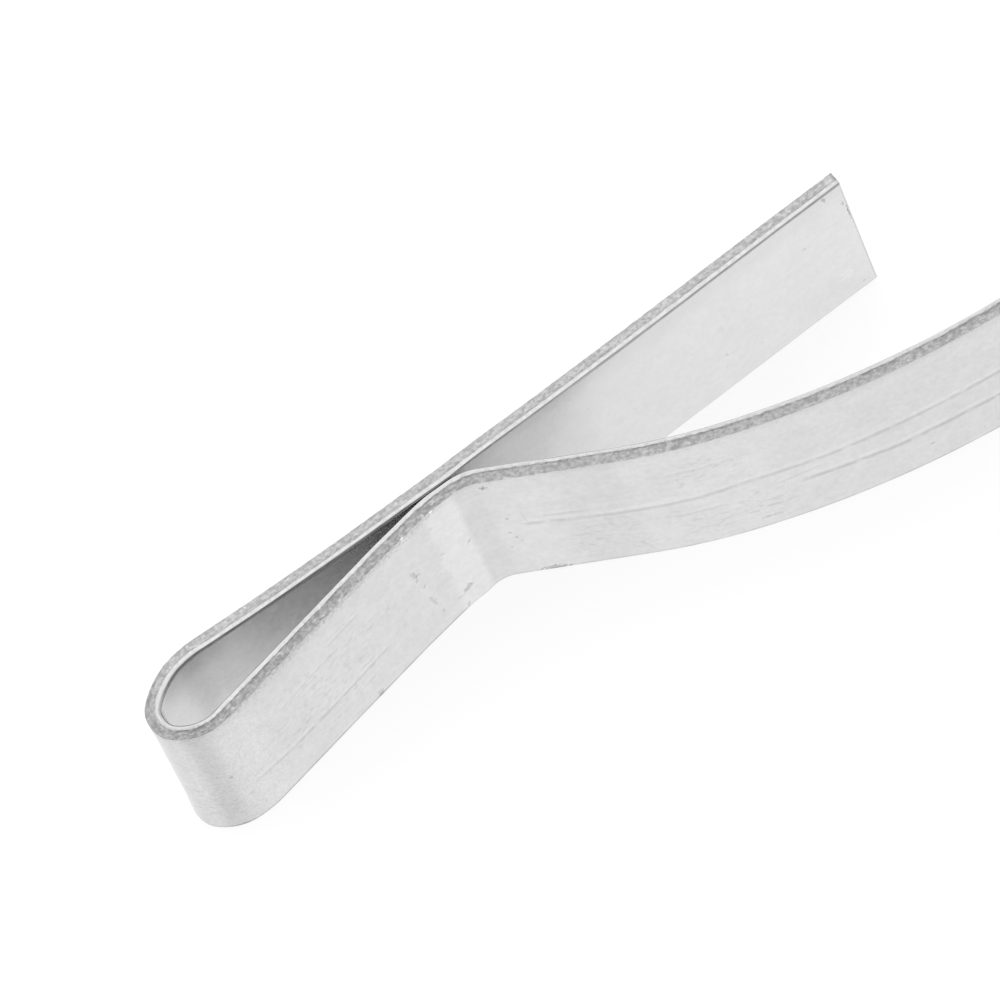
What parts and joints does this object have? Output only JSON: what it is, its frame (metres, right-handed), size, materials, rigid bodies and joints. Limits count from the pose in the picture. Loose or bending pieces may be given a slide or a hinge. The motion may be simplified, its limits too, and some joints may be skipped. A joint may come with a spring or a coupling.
{
  "type": "flat spring clip",
  "caption": "Flat spring steel strip folded into a clip: a straight leg, a flattened loop, and a second leg that pinches the first at a crest and curves away as a lead-in.",
  "frame": {"origin": "middle of the clip's footprint, at the height of the sheared edge it stands on", "axes": "+X along the straight leg towards its tip, +Y out of the straight leg's outer face, +Z across the strip's width"},
  "size_m": [0.0582, 0.0154, 0.012],
  "materials": {
    "spring_steel": "satin rolled faces with fine mill scratches; sheared long edges with a smooth cut band and a grainy fracture band"
  },
  "bodies": {
    "root": {"spring_clip": "spring_steel"}
  },
  "joints": []
}
